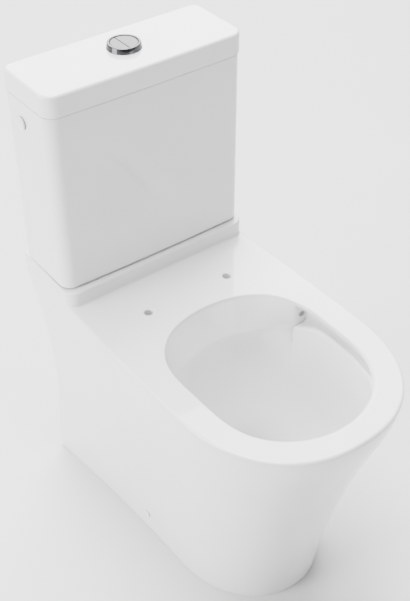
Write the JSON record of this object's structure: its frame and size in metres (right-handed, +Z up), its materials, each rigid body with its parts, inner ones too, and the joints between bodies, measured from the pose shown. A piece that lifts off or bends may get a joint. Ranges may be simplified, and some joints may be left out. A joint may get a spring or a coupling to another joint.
{
  "type": "close coupled toilet",
  "caption": "Floor standing rimless toilet pan with a skirted base and a slim cistern bolted to its rear platform, worked by a round dual flush button in the lid.",
  "frame": {"origin": "on the floor, under the centre of the whole object", "axes": "+Z up; +X across the pan, to the right of someone who looks from the bowl towards the wall; +Y to the wall, so the bowl points along -Y"},
  "size_m": [0.3679, 0.6554, 0.855],
  "materials": {
    "china": "white vitreous china, high gloss glaze",
    "chrome": "polished chromed plastic",
    "white_plastic": "white moulded plastic",
    "grey_plastic": "grey moulded plastic",
    "black_rubber": "black moulded rubber",
    "seal_rubber": "soft red silicone",
    "foam_rubber": "dark closed cell foam rubber",
    "clear_pad": "soft translucent pad",
    "brass": "machined brass",
    "stainless": "plain stainless steel"
  },
  "bodies": {
    "toilet": {"pan": "china", "pan_bowl": "china", "cistern": "china", "cistern_pads": "foam_rubber", "side_inlet_plugs": "white_plastic", "side_plug_seals": "black_rubber", "side_plug_nuts": "white_plastic", "coupling_gasket": "foam_rubber", "coupling_bolts": "stainless", "bolt_seals": "black_rubber", "bolt_washers": "stainless", "wing_nuts": "brass", "flush_valve_base": "white_plastic", "flush_valve_gasket": "black_rubber", "flush_valve_backnut": "white_plastic", "flush_valve_cage": "white_plastic", "lever_pins": "stainless", "inlet_shank": "brass", "inlet_washer": "black_rubber", "inlet_backnut": "brass", "inlet_filter": "white_plastic", "fill_valve_body": "white_plastic", "fill_valve_head": "grey_plastic", "fill_diaphragm": "seal_rubber", "fill_outlet_tube": "white_plastic", "float_lever_pin": "stainless", "floor_brackets": "white_plastic", "side_fixing_screws": "stainless", "side_fixing_caps": "white_plastic"},
    "lid": {"cistern_lid": "china", "lid_pads": "clear_pad", "button_bezel": "chrome", "button_nut": "white_plastic", "full_button_spring": "stainless", "half_button_spring": "stainless"},
    "full_button": {"full_flush_button": "chrome", "full_push_rod": "white_plastic"},
    "half_button": {"half_flush_button": "chrome", "half_push_rod": "white_plastic"},
    "full_lever": {"full_flush_lever": "grey_plastic"},
    "half_lever": {"half_flush_lever": "grey_plastic"},
    "flush_piston": {"overflow_tube": "grey_plastic", "flush_seal": "seal_rubber", "seal_retainer": "grey_plastic"},
    "half_float": {"half_flush_float": "white_plastic"},
    "float": {"float_cup": "grey_plastic", "float_rod": "white_plastic"},
    "float_arm": {"float_lever": "white_plastic"}
  },
  "joints": [
    {"name": "lid_lift", "type": "slide", "parent": "toilet", "child": "lid", "axis": [0, 0, 1], "range_m": [0, 0.12]},
    {"name": "full_flush_press", "type": "slide", "parent": "lid", "child": "full_button", "axis": [0, 0, -1], "range_m": [0, 0.006], "stiffness_N_per_m": 400, "springref_m": -0.004, "deforming": ["full_button_spring"]},
    {"name": "half_flush_press", "type": "slide", "parent": "lid", "child": "half_button", "axis": [0, 0, -1], "range_m": [0, 0.006], "stiffness_N_per_m": 400, "springref_m": -0.004, "deforming": ["half_button_spring"]},
    {"name": "full_lever_tilt", "type": "hinge", "parent": "toilet", "child": "full_lever", "pos_m": [0.024, 0.255, 0.705], "axis": [0, -1, 0], "range_deg": [0, 24.8]},
    {"name": "half_lever_tilt", "type": "hinge", "parent": "toilet", "child": "half_lever", "pos_m": [-0.024, 0.255, 0.705], "axis": [0, 1, 0], "range_deg": [0, 24.8]},
    {"name": "flush_seal_lift", "type": "slide", "parent": "toilet", "child": "flush_piston", "axis": [0, 0, 1], "range_m": [0, 0.0113]},
    {"name": "half_float_lift", "type": "slide", "parent": "toilet", "child": "half_float", "axis": [0, 0, 1], "range_m": [0, 0.0113]},
    {"name": "float_rise", "type": "slide", "parent": "toilet", "child": "float", "axis": [0, 0, 1], "range_m": [0, 0.016]},
    {"name": "float_lever_tilt", "type": "hinge", "parent": "toilet", "child": "float_arm", "pos_m": [0.093, 0.255, 0.746], "axis": [0, 1, 0], "range_deg": [0, 28.7]}
  ],
  "couplings": [
    {"joint": "full_lever_tilt", "follows": "full_flush_press", "rad_per_m": 72},
    {"joint": "flush_seal_lift", "follows": "full_flush_press", "ratio": 1.866},
    {"joint": "half_lever_tilt", "follows": "half_flush_press", "rad_per_m": 72},
    {"joint": "half_float_lift", "follows": "half_flush_press", "ratio": 1.866},
    {"joint": "float_lever_tilt", "follows": "float_rise", "rad_per_m": 31.2}
  ]
}
